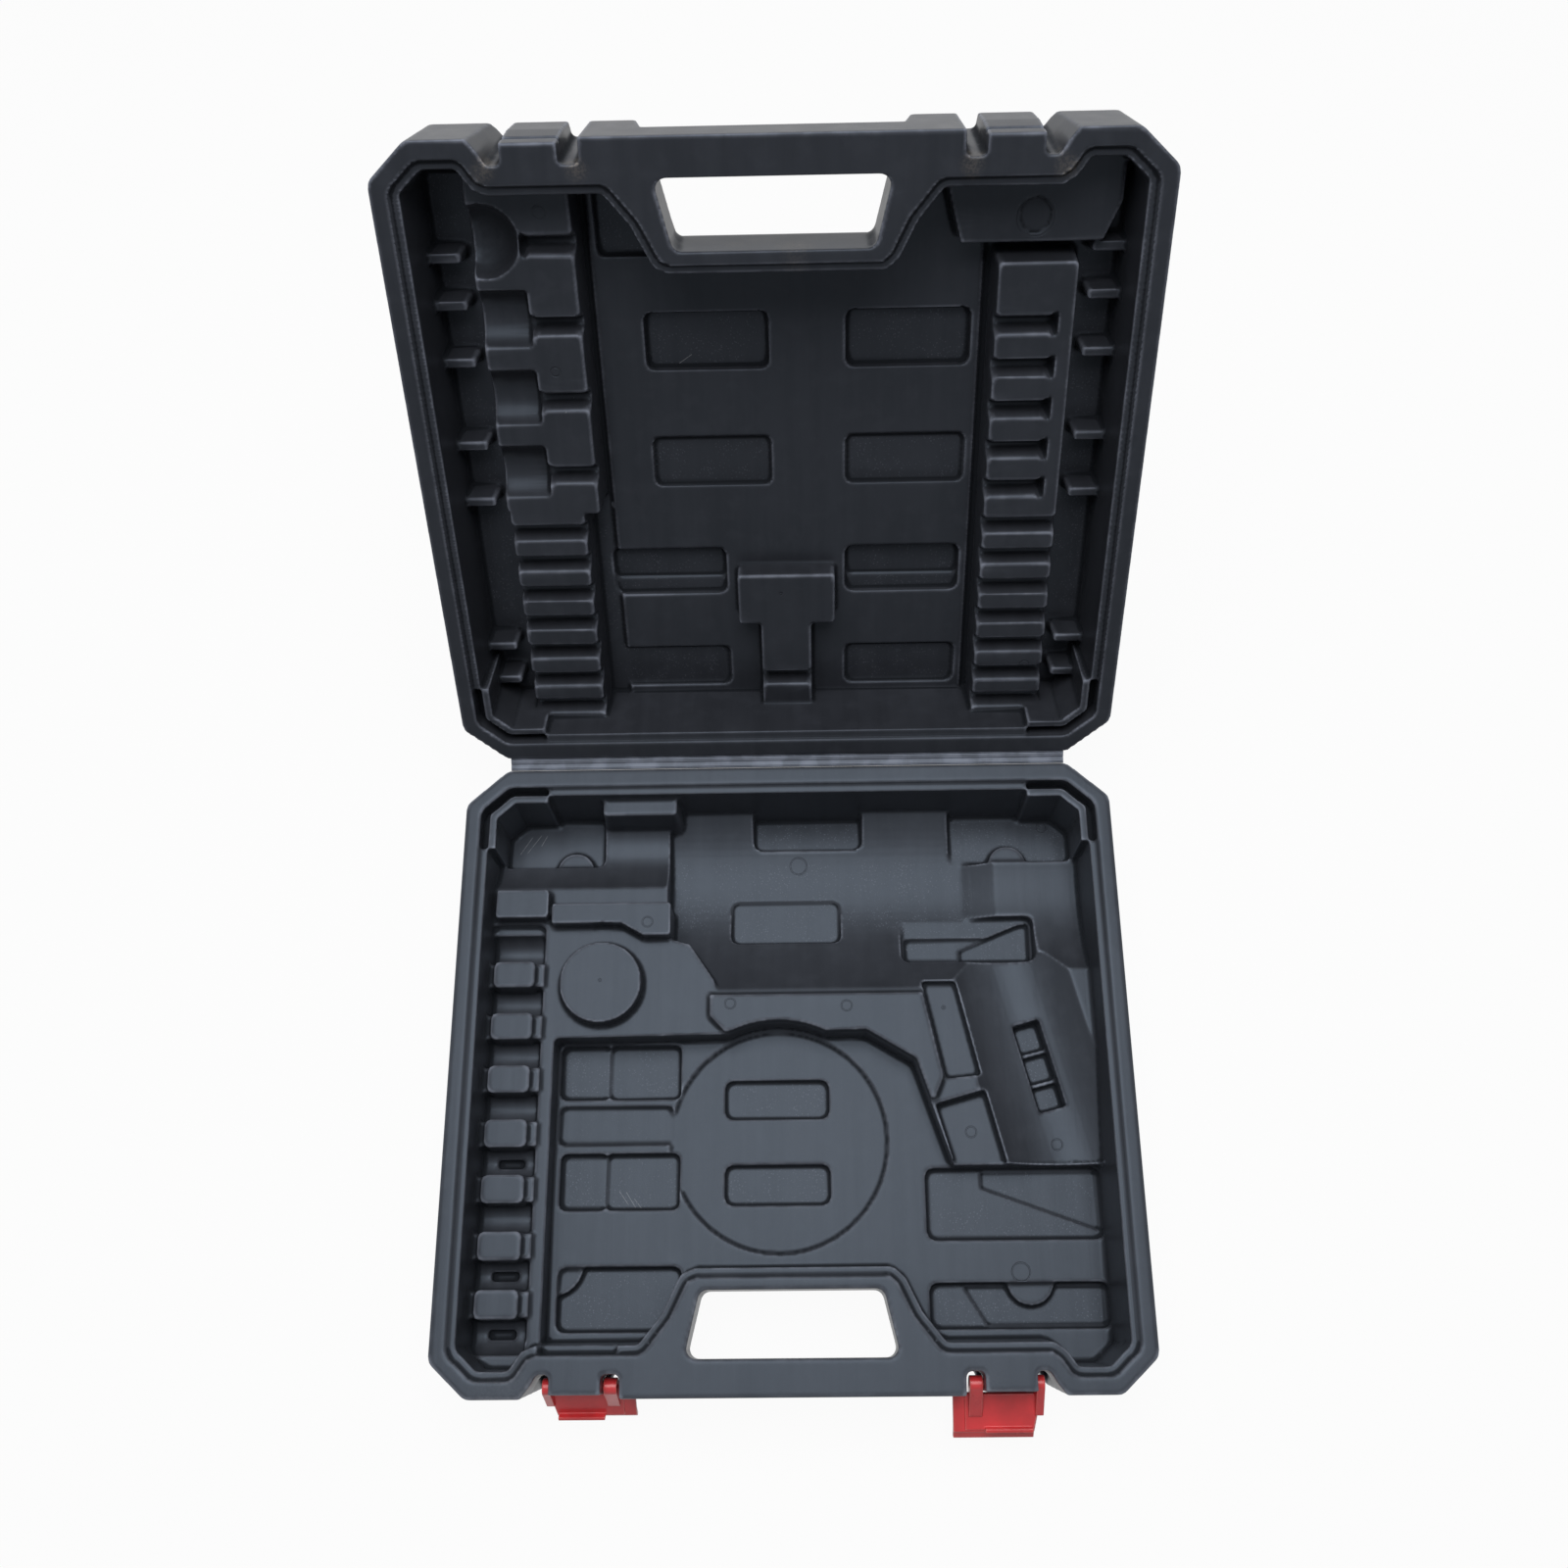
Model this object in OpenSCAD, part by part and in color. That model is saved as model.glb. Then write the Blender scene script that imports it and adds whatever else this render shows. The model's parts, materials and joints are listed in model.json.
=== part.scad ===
// Hard tool case: two double-walled moulded halves on a living hinge, with two clip latches.
// Each half is drawn in its own half frame: x across, y from the hinge axis to the handle edge,
// z up out of the open side, rim plane at z = 0. Depths are counted down from the rim.

/* [Case] */
// Width of the case across the rims
case_w = 380; // [366:1:400]
// Length of each half from its hinge edge to its handle edge
case_l = 348.4; // [342:0.1:362]
// Height of each half from its rim to its outer face
half_h = 56; // [54:0.5:64]
// Thickness of the outer skin
skin_t = 2.5; // [2:0.1:3]
// Thickness of the inner tray
tray_t = 2.2; // [1.8:0.1:2.6]
// Angle between lid and base as shown (0 closed, 180 laid flat)
lid_open = 123.1; // [95:0.1:150]
// Distance between the two rims when the case is closed
rim_gap = 0.4; // [0.2:0.1:1]

/* [Outline] */
// Across-the-case size of the two corner cuts beside the hinge
rear_cut_x = 23.5; // [18:0.5:28]
// Front-to-back size of the two corner cuts beside the hinge
rear_cut_y = 21.2; // [16:0.2:26]
// Across-the-case size of the two corner cuts beside the handle
front_cut_x = 20.2; // [16:0.2:24]
// Front-to-back size of the two corner cuts beside the handle
front_cut_y = 18.3; // [14:0.1:22]
// Radius on the corners of the rim outline
corner_r = 6; // [3:0.5:9]
// How far the outer walls lean in over their height
wall_lean = 4; // [2:0.2:6]
// Width of the slope between outer walls and outer face
edge_cut = 5; // [2:0.5:8]

/* [Rim] */
// Width of the flat rim at the sides and the hinge
rim_w = 9; // [7:0.2:11]
// Width of the flat rim along the handle edge beside the handle
front_rim_w = 21.4; // [19:0.2:24]
// Width of the step inside the rim
ledge_w = 4.5; // [3:0.1:6]
// Depth of the step inside the rim
ledge_depth = 2.6; // [1.5:0.1:4]
// Width of the slot behind the lip at the hinge corners
corner_slot_w = 4.6; // [3:0.1:6]
// Depth of the slot behind the lip at the hinge corners
corner_slot_depth = 13; // [8:0.5:18]
// How far the corner lip and slot run along the hinge and the sides
corner_reach = 48; // [36:1:60]

/* [Hinge] */
// Distance from the hinge axis to each half
hinge_gap = 3.6; // [2.8:0.1:5]
// Thickness of the hinge web
web_t = 1.2; // [0.8:0.1:1.6]

/* [Handle] */
// Width of the hand hole at its handle edge side
hole_w = 113; // [100:1:118]
// How much narrower the hand hole is on its hinge side
hole_taper = 16; // [8:1:24]
// Size of the hand hole from hinge side to handle side
hole_l = 34; // [28:0.5:40]
// Thickness of the handle bar
bar_t = 19; // [16:0.5:24]
// Depth of the handle below the rim in each half
bar_depth = 28; // [22:0.5:34]
// Width of the land between the hand hole and the inside of the case
hole_land = 6.5; // [5:0.5:9]

/* [Latches] */
// Distance of each latch from the side of the case
latch_inset = 77; // [72:0.5:82]
// Width of the tongue that carries a latch
tongue_w = 27; // [24:0.5:32]
// Width of the notch on each side of a tongue
notch_w = 10; // [9:0.2:12]
// Depth of the notches, back from the handle edge
notch_l = 12; // [11:0.2:14]
// Radius of the back corners of the notches
notch_r = 2.4; // [1:0.1:3]
// How far the tongue stands back from the handle edge
tongue_back = 2; // [1:0.1:3]
// Depth of the latch pivot below the rim
pivot_depth = 14; // [11:0.5:16]
// Distance of the latch pivot behind the front of the tongue
pivot_back = 3.8; // [3.4:0.1:5]
// Radius of the latch trunnions
trunnion_r = 2.2; // [1.6:0.1:2.6]
// Radial clearance of a trunnion in its socket
trunnion_play = 0.06; // [0.02:0.01:0.1]
// Length of each trunnion
trunnion_l = 2.8; // [2:0.1:4]
// Thickness of the latch plate
latch_t = 2.5; // [1.8:0.1:3]
// Gap between a closed latch plate and the handle edge
latch_gap = 1; // [0.6:0.1:1.6]
// Width of a latch plate from the middle of its tongue towards the middle of the case
plate_inner = 29; // [26:0.2:31]
// Width of a latch plate from the middle of its tongue towards the side of the case
plate_outer = 18; // [16:0.2:20]
// How much the plate narrows towards its free edge
plate_taper = 4.5; // [2:0.1:6]
// Width of the arm on the inner side of a tongue
inner_arm_w = 7; // [5:0.1:8]
// Width of the arm on the outer side of a tongue
outer_arm_w = 4.4; // [3.5:0.1:5]
// Reach of a closed latch above its pivot
latch_reach = 27; // [25:0.5:30]
// Angle that the left latch has swung open as shown
left_swing = 134; // [110:1:140]
// Angle that the right latch has swung open as shown
right_swing = 106; // [90:1:140]

/* [Base tray] */
// Depth of the lands around the tool
land_depth = 27; // [22:0.5:30]
// Depth of the raised strip and disc on the lands
strip_depth = 17; // [13:0.5:20]
// Radius of the disc beside the tool
disc_r = 23.6; // [18:0.2:25]
// Radius of the hollow for the tool body
body_r = 95; // [88:1:110]
// Radius of the hollow for the chuck
chuck_r = 30; // [26:0.5:32]
// Radius of the hollow for the grip
grip_r = 48.8; // [44:0.2:52]
// Depth of the hollow for the grip
grip_depth = 42; // [38:0.5:45]
// Angle of the grip to the case sides
grip_lean = 14; // [8:1:18]
// Radius of the shallow disc in the floor
floor_disc_r = 63; // [50:0.5:65]
// Depth of the tops of the socket ribs
rib_depth = 20; // [16:0.5:23]
// Depth of the slot behind the left latch
front_slot_depth = 16; // [12:0.5:20]
// Spacing of the socket ribs along the left wall
rib_pitch = 30.3; // [29:0.1:31]
// Length of each socket rib
rib_l = 15.5; // [12:0.5:18]

/* [Lid tray] */
// Depth of the tops of the blocks in the lid
block_depth = 20; // [17:0.5:24]
// Depth of the T-shaped clamp block in the lid
clamp_depth = 31; // [27:0.5:36]
// Spacing of the accessory slots along the combs
comb_pitch = 19; // [18:0.1:19.4]
// Width of the mouth of an accessory slot
comb_slot_w = 9.5; // [8:0.1:11]
// Width of the bottom of an accessory slot
comb_slot_floor = 3.4; // [2:0.1:5]
// Depth of an accessory slot
comb_slot_depth = 9; // [6:0.5:11]
// How much wider an accessory slot is at its ends, and over what length it widens
slot_flare = 5; // [3:0.5:6]
// Radius of the round saddles in the left row
saddle_r = 15.5; // [13:0.5:17]
// Depth of the round saddles below the blocks
saddle_depth = 11; // [8:0.5:13]
// Radius of the bowl at the end of the left row
bowl_r = 19; // [16:0.5:22]
// Depth of the bowl below the blocks
bowl_depth = 14; // [10:0.5:15]
// Depth of the shelf beside the handle in the lid
shelf_depth = 26; // [22:0.5:30]

/* [Hidden] */
eps = 0.01;
// Sides of the rounded corners, and of the round hollows by their size; the hidden face of a tray
// is plainer
$sides = 8;
$arc = 12;
hidden_sides = 4;
// The inner tray is pressed against the outer skin at the deepest pads
tack_depth = half_h - skin_t - tray_t;
floor_depth = tack_depth - 6;
trough_depth = tack_depth - 1.3;
front_y = hinge_gap + case_l;
hinge_y = hinge_gap + case_l / 2;
rim_in_y = hinge_gap + rim_w + 1.9;
tray_draft = 2;
latch_x = case_w / 2 - latch_inset;
plate_v0 = 7;
pivot_y = front_y - tongue_back - pivot_back;
plate_u = front_y + latch_gap - pivot_y;
lip_v = latch_reach - 2;
lip_t = 2;
lip_play = 0.5;
lip_bite = 1.5;
socket_l = trunnion_l + 0.4;
arm_play = 0.4;
tongue_h = pivot_depth + 6;
bay_h = 26;
hole_front_y = front_y - bar_t;
hole_back_y = hole_front_y - hole_l;
// Distances measured in from the left and right ends and back from the handle edge
function left(a) = -case_w / 2 + a;
function right(a) = case_w / 2 - a;
function front(a) = front_y - a;

// ---------- Outlines in plan ----------
module softened(r) {
    offset(r = r, $fn = $sides) offset(r = -2 * r, $fn = $sides) offset(r = r, $fn = $sides) children();
}

module sheet(x0, y0, x1, y1, r = 4) {
    translate([x0 + r, y0 + r])
        offset(r = r, $fn = $sides) square([x1 - x0 - 2 * r, y1 - y0 - 2 * r]);
}

module rim_outline(grow = 0) {
    half_w = case_w / 2;
    offset(delta = grow)
        offset(r = corner_r, $fn = 2 * $sides) offset(delta = -corner_r)
            polygon([
                [-half_w + rear_cut_x, hinge_gap], [half_w - rear_cut_x, hinge_gap],
                [half_w, hinge_gap + rear_cut_y], [half_w, front_y - front_cut_y],
                [half_w - front_cut_x, front_y], [-half_w + front_cut_x, front_y],
                [-half_w, front_y - front_cut_y], [-half_w, hinge_gap + rear_cut_y]
            ]);
}

// The notches on both sides of each tongue, open at the handle edge
module latch_bays() {
    for (side = [-1, 1])
        translate([side * latch_x, 0])
            scale([side, 1])
                offset(r = notch_r, $fn = 12) offset(delta = -notch_r)
                    difference() {
                        polygon([
                            [-tongue_w / 2 - notch_w, front_y + 6],
                            [-tongue_w / 2 - notch_w + 0.5, front(notch_l)],
                            [tongue_w / 2 + 0.65 * notch_w, front(notch_l)],
                            [tongue_w / 2 + notch_w, front(notch_l / 2)],
                            [tongue_w / 2 + notch_w + 9.5, front_y + 6]
                        ]);
                        translate([-tongue_w / 2, 0]) square([tongue_w, front_y - tongue_back]);
                    }
}

module hand_hole(grow = 0) {
    offset(r = 5 + grow, $fn = 24) offset(delta = -5)
        polygon([
            [-(hole_w - hole_taper) / 2, hole_back_y], [(hole_w - hole_taper) / 2, hole_back_y],
            [hole_w / 2, hole_front_y], [-hole_w / 2, hole_front_y]
        ]);
}

// Land of the rim between the inside of the case and the handle edge
module front_land() {
    handle_half = hole_w / 2 - hole_taper / 2 - 4;
    notch_end = latch_x + tongue_w / 2 + notch_w;
    polygon([
        [-notch_end - 20, front_y + 20], [-notch_end - 11.5, front(6)],
        [-notch_end - 1, front(front_rim_w)], [-handle_half - 34, front(front_rim_w)],
        [-handle_half - 20, hole_back_y + 14], [-handle_half - 10, hole_back_y - hole_land],
        [handle_half + 10, hole_back_y - hole_land], [handle_half + 20, hole_back_y + 14],
        [handle_half + 34, front(front_rim_w)], [notch_end + 1, front(front_rim_w)],
        [notch_end + 11.5, front(6)], [notch_end + 20, front_y + 20]
    ]);
}

// Inner edge of the flat rim
module cavity_outline(grow = 0) {
    offset(delta = grow)
        softened(5)
            difference() {
                intersection() {
                    rim_outline(-rim_w);
                    translate([-case_w / 2, rim_in_y]) square([case_w, case_l]);
                }
                front_land();
            }
}

module corner_zones(grow = 0) {
    for (side = [-1, 1])
        translate([side * (case_w / 2 - corner_reach / 2), corner_reach / 2 + hinge_gap])
            square(corner_reach + 2 * grow, center = true);
}

// ---------- Drafted solids ----------
// A flat-bottomed hollow from above the rim down to a depth; its sides lean out upwards
module hollow(depth, grow = 0, lean = 1.5) {
    translate([0, 0, -depth - grow])
        hull() {
            linear_extrude(eps) offset(delta = grow) children();
            translate([0, 0, depth - 0.5]) linear_extrude(eps) offset(delta = grow + lean) children();
        }
}

// The same with upright sides, for outlines with inward corners
module well(depth, grow = 0) {
    translate([0, 0, -depth - grow])
        linear_extrude(depth + grow + 1) offset(delta = grow) children();
}

// A block that stands up to a depth below the rim; its sides lean in upwards. It is taken out of
// the hollows, so it is drawn right down to the outer face
module block(top, shrink = 0, lean = 1.7) {
    hull() {
        translate([0, 0, -half_h]) linear_extrude(eps) offset(delta = lean - shrink) children();
        translate([0, 0, -top - shrink - eps]) linear_extrude(eps) offset(delta = -shrink) children();
    }
}

module slab(top, shrink = 0) {
    translate([0, 0, -half_h]) linear_extrude(half_h - top - shrink) offset(delta = -shrink) children();
}

// The inside of a half down to its floor, with drafted walls
module main_hollow(depth, grow) {
    well(ledge_depth, grow) cavity_outline();
    translate([0, 0, -depth - grow])
        minkowski() {
            linear_extrude(eps) cavity_outline(-ledge_w - tray_draft + grow);
            cylinder(h = depth + 1, r1 = 0, r2 = tray_draft, $fn = 8);
        }
}

// Slot and lip at the hinge corners; the lip is part of the wall inside it
module corner_slots(grow) {
    translate([0, 0, -corner_slot_depth - grow])
        linear_extrude(corner_slot_depth + grow + 1)
            intersection() {
                difference() {
                    cavity_outline(grow);
                    cavity_outline(-corner_slot_w - 1.2 * grow);
                }
                corner_zones(grow);
            }
}

module corner_lips(shrink) {
    slab(ledge_depth, shrink)
        intersection() {
            difference() {
                cavity_outline(-corner_slot_w + (shrink > 0 ? 20 : 0));
                cavity_outline(-corner_slot_w - ledge_w);
            }
            corner_zones();
        }
}

// ---------- Outer shells ----------
module skin_form(grow) {
    top = grow > 0 ? 1 : -tray_t;
    hull() {
        translate([0, 0, top - eps]) linear_extrude(eps) rim_outline(-grow);
        translate([0, 0, -half_h + edge_cut])
            linear_extrude(eps) rim_outline(-grow - wall_lean);
        translate([0, 0, -half_h + grow])
            linear_extrude(eps) rim_outline(-grow * 0.6 - wall_lean - edge_cut);
    }
}

// The outer face is cut back around the handle so that a hand closes round the bar
module hand_recess(grow) {
    inner_y = hole_back_y - hole_land - ledge_w + tray_t + skin_t + 0.4;
    half_w = hole_w / 2;
    translate([0, 0, -half_h - 1])
        hull() {
            linear_extrude(eps)
                offset(delta = grow)
                    polygon([
                        [-half_w + 6, inner_y - 2], [half_w - 6, inner_y - 2],
                        [half_w + 15, front_y + 9], [-half_w - 15, front_y + 9]
                    ]);
            translate([0, 0, half_h + 1 - bar_depth + grow])
                linear_extrude(eps)
                    offset(delta = grow)
                        polygon([
                            [-half_w + 9, inner_y], [half_w - 9, inner_y],
                            [half_w + 9, front_y + 9], [-half_w - 9, front_y + 9]
                        ]);
        }
}

// Room under the base tongues for an open latch to hang in
module latch_pockets(grow) {
    pocket_inner = plate_inner + 1.6;
    pocket_outer = tongue_w / 2 + notch_w + 1;
    for (side = [-1, 1])
        translate([side * latch_x, 0, -tongue_h - bay_h])
            scale([side, 1, 1])
                translate([-pocket_inner - grow, front(notch_l + 1) - grow, -grow])
                    cube([pocket_inner + pocket_outer + 2 * grow, 40, bay_h + 2 * grow]);
}

module outer_form(grow, is_base) {
    difference() {
        skin_form(grow);
        hand_recess(grow);
        translate([0, 0, -half_h - 1])
            linear_extrude(half_h + 3) offset(delta = grow) latch_bays();
        if (is_base) latch_pockets(grow);
    }
}

// Shallow stiffening grooves pressed into the outer face, clear of its middle
module face_grooves() {
    groove_w = 7;
    groove_depth = 1.2;
    groove_half = case_w / 2 - 48;
    for (y = [hinge_y - 104, hinge_y - 84, hinge_y - 64, hinge_y + 44, hinge_y + 64, hinge_y + 84])
        translate([0, y, -half_h - 1])
            linear_extrude(1 + groove_depth) {
                square([2 * groove_half, groove_w], center = true);
                for (side = [-1, 1]) translate([side * groove_half, 0]) circle(d = groove_w, $fn = 24);
            }
}

module outer_shell(is_base) {
    difference() {
        union() {
            difference() {
                outer_form(0, is_base);
                outer_form(skin_t, is_base);
            }
            translate([0, 0, -bar_depth])
                linear_extrude(bar_depth - tray_t) hand_hole(skin_t);
            // The tongues are pressed solid where the latches bear on them
            for (side = [-1, 1])
                translate([side * latch_x - tongue_w / 2, front(notch_l), -tongue_h])
                    cube([tongue_w, notch_l - tongue_back, tongue_h - tray_t]);
        }
        translate([0, 0, -half_h]) linear_extrude(half_h + 1) hand_hole();
        face_grooves();
        for (side = [-1, 1]) translate([side * latch_x, 0, 0]) {
            if (is_base) trunnion_sockets();
            else catch_groove();
        }
    }
}

module trunnion_sockets() {
    for (side = [-1, 1])
        translate([side * (tongue_w / 2 - socket_l / 2 + 0.5), pivot_y, -pivot_depth])
            rotate([0, 90, 0])
                cylinder(h = socket_l + 1, r = trunnion_r + trunnion_play, center = true, $fn = 48);
}

// Groove across a lid tongue that the latch lip snaps into
module catch_groove() {
    depth = lip_v - pivot_depth - rim_gap;
    cut = lip_t + 2 * lip_play;
    translate([-tongue_w / 2 - 1, front(tongue_back + lip_bite + lip_play), -depth - cut / 2])
        cube([tongue_w + 2, 20, cut]);
}

// ---------- Inner trays ----------
module tray(is_base) {
    difference() {
        union() {
            translate([0, 0, -tray_t])
                linear_extrude(tray_t)
                    difference() {
                        rim_outline();
                        latch_bays();
                    }
            intersection() {
                if (is_base) base_hollows(tray_t, $sides = hidden_sides, $arc = hidden_sides);
                else lid_hollows(tray_t, $sides = hidden_sides, $arc = hidden_sides);
                translate([-case_w, -case_l, -half_h]) cube([2 * case_w, 3 * case_l, half_h]);
            }
        }
        if (is_base) base_hollows(0);
        else lid_hollows(0);
        translate([0, 0, -half_h]) linear_extrude(half_h + 1) hand_hole();
    }
}

// Lands that fill the base behind the accessory floor
module base_lands(shrink) {
    slab(land_depth, shrink)
        difference() {
            translate([-case_w, -20]) square([2 * case_w, front_y + 60]);
            floor_zone();
        }
}

// Sunk floor in front of the lands, with the stepped edge that follows the tool
module floor_zone() {
    softened(2)
        difference() {
            polygon([
                [left(54), 159.5], [44, 157.5], [71.5, 174], [91, 232.5],
                [right(-20), 232.5], [right(-20), front_y + 60], [left(54), front_y + 60]
            ]);
        }
    translate([-7, 214]) circle(r = floor_disc_r - 0.5, $fn = 4 * $arc);
}

module base_hollows(grow) {
    difference() {
        union() {
            difference() {
                main_hollow(floor_depth, grow);
                base_lands(grow);
            }
            intersection() {
                tool_hollows(grow);
                main_hollow(tack_depth + 5, grow);
            }
            intersection() {
                base_pads(grow);
                main_hollow(tack_depth + 5, grow);
            }
        }
        corner_lips(grow);
        base_blocks(grow);
    }
    corner_slots(grow);
    front_slot(grow);
}

// Deep slot behind the left latch, where the step inside the rim stops; a thin bar stands in it
module front_slot(grow) {
    slot_y = front(front_rim_w);
    difference() {
        hollow(front_slot_depth, grow, 0.3) sheet(left(57), slot_y - 12, left(98), slot_y - 0.3, 1);
        if (grow == 0) block(7, 0, 0.3) sheet(left(58), slot_y - 7.2, left(99), slot_y - 6, 0.5);
    }
}

// Round hollow lying along x between two ends
module trough(x0, x1, y, depth, r, grow) {
    translate([x0 - grow, y, r - depth])
        rotate([0, 90, 0])
            cylinder(h = x1 - x0 + 2 * grow, r = r + grow, $fn = (r > 50 ? 10 : r > 20 ? 6 : 3) * $arc);
}

module tool_hollows(grow) {
    trough(left(118), right(85), 70, trough_depth, body_r, grow);
    hull() {
        trough(right(86), right(85), 70, trough_depth, body_r, grow);
        trough(right(66), right(65), 74, trough_depth - 7, body_r - 15, grow);
    }
    trough(right(66), right(8), 74, trough_depth - 7, body_r - 15, grow);
    trough(left(8), left(119), 46, trough_depth - 12, chuck_r, grow);
    // Grip, leaning away from the case side
    intersection() {
        translate([right(50), 176, grip_r - grip_depth])
            rotate([0, 0, -grip_lean])
                rotate([90, 0, 0]) cylinder(h = 140, r = grip_r + grow, center = true, $fn = 6 * $arc);
        well(tack_depth + 5, grow) translate([right(120), 110]) square([130, 122]);
    }
    hollow(land_depth + 8, grow)
        polygon([[77.2, 128], [97, 128], [109, 182.7], [89, 184.7]]);
    hollow(land_depth + 9, grow)
        polygon([[82.5, 199.5], [111, 191.6], [121, 232], [92.2, 233.5]]);
    socket_channel(grow);
}

module socket_channel(grow) {
    well(rib_depth + 10, grow) sheet(left(10), 92, left(46), front(26), 3);
    for (i = [0:7])
        trough(left(13), left(45.5), socket_y(i) - rib_pitch / 2, rib_depth + 19, 10.5, grow);
    for (i = [4, 6, 7])
        hollow(rib_depth + 23, grow, 0.5)
            translate([left(31), socket_y(i) - rib_pitch / 2]) square([15, 5], center = true);
}

function socket_y(i) = 123 + i * rib_pitch;

module base_pads(grow) {
    deep = tack_depth;
    // Pads pressed down to the outer skin
    for (y = [181, 229]) hollow(deep, grow) sheet(-38, y + 1, 22, y + 23);
    hollow(deep, grow) sheet(-35, 73, 31, 100);
    hollow(deep, grow) sheet(-21, 10, 45, 41);
    hollow(deep - 3, grow) sheet(right(123), 86, right(44), 114);
    hollow(deep - 1.2, grow, 0.6) sheet(right(121.5), 98, right(62), 112.5, 2);
    hollow(deep, grow, 0.6)
        polygon([
            [right(53.5), 90.5], [right(46), 89], [right(46), 112.5],
            [right(88.5), 112.5], [right(88.5), 105]
        ]);
    hollow(deep - 3, grow) sheet(right(92), 10, right(18), 52);
    hollow(deep - 5, grow) sheet(left(16), 10, left(78), 53);
    hollow(deep - 1, grow) sheet(left(56), 161, left(85), 192, 3);
    hollow(deep, grow) sheet(left(84), 161, left(126), 192, 3);
    hollow(deep - 4, grow) sheet(left(56), 196, left(122), 218, 3);
    hollow(deep - 1, grow) sheet(left(58), 223, left(85), 254, 3);
    hollow(deep, grow) sheet(left(84), 223, left(126), 254, 3);
    hollow(deep, grow) sheet(left(59), front(67), left(128), front(33));
    hollow(deep - 1, grow) sheet(right(114), 233, right(15), 272);
    hollow(deep, grow)
        polygon([[right(83), 234.5], [right(16.5), 234.5], [right(16.5), 268], [right(83), 244]]);
    hollow(deep - 1, grow) sheet(right(114), front(57), right(15), front(33));
    hollow(deep, grow)
        polygon([
            [right(96), front(55.5)], [right(16.5), front(55.5)],
            [right(16.5), front(34.5)], [right(83), front(34.5)]
        ]);
    // Shallow disc, and the slot for the trigger guard
    hollow(floor_depth + 1.8, grow, 0.5) translate([-7, 216.4]) circle(r = floor_disc_r, $fn = 4 * $arc);
    hollow(deep, grow, 2.5)
        translate([right(46), 176]) rotate(-grip_lean) square([15, 51], center = true);
}

module base_blocks(shrink) {
    // Strip with the curved edge, and the block beside it
    slab(strip_depth, shrink)
        softened(1.5)
            difference() {
                polygon([
                    [left(50.5), 81.2], [left(120.7), 81.2], [left(120.7), 101.5], [left(105.2), 101.5],
                    [left(92), 93.8], [left(50.5), 93.8]
                ]);
                translate([left(80.7), 128.8]) circle(r = disc_r + 12, $fn = 4 * $arc);
            }
    block(strip_depth, shrink, 0.8) sheet(left(17.5), 72.5, left(48.5), 90, 2);
    // Corner of the land that cuts across the end of the tool hollow
    slab(land_depth, shrink)
        polygon([
            [left(116), 100], [left(131.5), 104.7], [left(146), 126.3], [left(148), 134], [left(116), 134]
        ]);
    block(strip_depth, shrink, 1.5)
        translate([left(80.7), 128.8]) circle(r = disc_r, $fn = 4 * $arc);
    block(10, shrink, 3) sheet(left(80), 12, left(124), 29.5, 2);
    if (shrink == 0) {
        for (i = [0:6]) {
            block(rib_depth, 0, 1)
                sheet(left(18), socket_y(i) - rib_l / 2, left(42), socket_y(i) + rib_l / 2, 3);
            block(rib_depth + 4, 0, 0.5)
                sheet(left(9), socket_y(i) - rib_l / 2 + 1, left(47), socket_y(i) + rib_l / 2 - 1, 1);
        }
        // Half-round bosses in the corner pads
        for (p = [[left(60), 54], [right(57), 53]])
            block(floor_depth - 4, 0, 0.6)
                intersection() {
                    translate(p) circle(r = 11, $fn = 24);
                    translate([p[0] - 15, p[1] - 15]) square([30, 15]);
                }
        block(floor_depth + 2, 0, 0.6)
            intersection() {
                translate([right(58), front(58)]) circle(r = 13, $fn = 24);
                translate([right(75), front(58)]) square([34, 20]);
            }
        block(floor_depth + 2, 0, 0.6)
            intersection() {
                translate([left(56), front(69)]) circle(r = 17, $fn = 24);
                translate([left(56), front(69)]) square([30, 30]);
            }
        // Bridges in the trigger slot
        for (v = [-8, 10])
            block(floor_depth + 2, 0, 0.4)
                translate([right(46), 176]) rotate(-grip_lean)
                    translate([0, v]) square([22, 2], center = true);
    }
}

module lid_hollows(grow) {
    difference() {
        union() {
            main_hollow(floor_depth, grow);
            intersection() {
                lid_pads(grow);
                main_hollow(tack_depth + 5, grow);
            }
        }
        corner_lips(grow);
        difference() {
            lid_blocks(grow);
            lid_saddles(grow);
        }
    }
    corner_slots(grow);
}

module lid_pads(grow) {
    deep = tack_depth;
    for (x = [-70, 36]) {
        hollow(deep, grow) sheet(x, 224, x + 65, 255);
        hollow(deep - 3.5, grow) sheet(x, 157, x + 65, 186);
    }
    for (x = [-98, 36]) {
        hollow(deep - 2, grow) sheet(x, 89, x + 65, 118);
        hollow(deep, grow) sheet(x, 98, x + 65, 118);
        hollow(deep - 3.5, grow) sheet(x, 26, x + 65, 53);
    }
    hollow(deep - 3, grow) sheet(left(99), front(68), left(128), front(30));
    // Sunk strips that the two rows of blocks stand in
    hollow(floor_depth + 2.5, grow) sheet(left(16), 18, left(95), front(24), 2);
    hollow(floor_depth + 2.5, grow) sheet(right(84), 18, right(16), front(60), 2);
}

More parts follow.
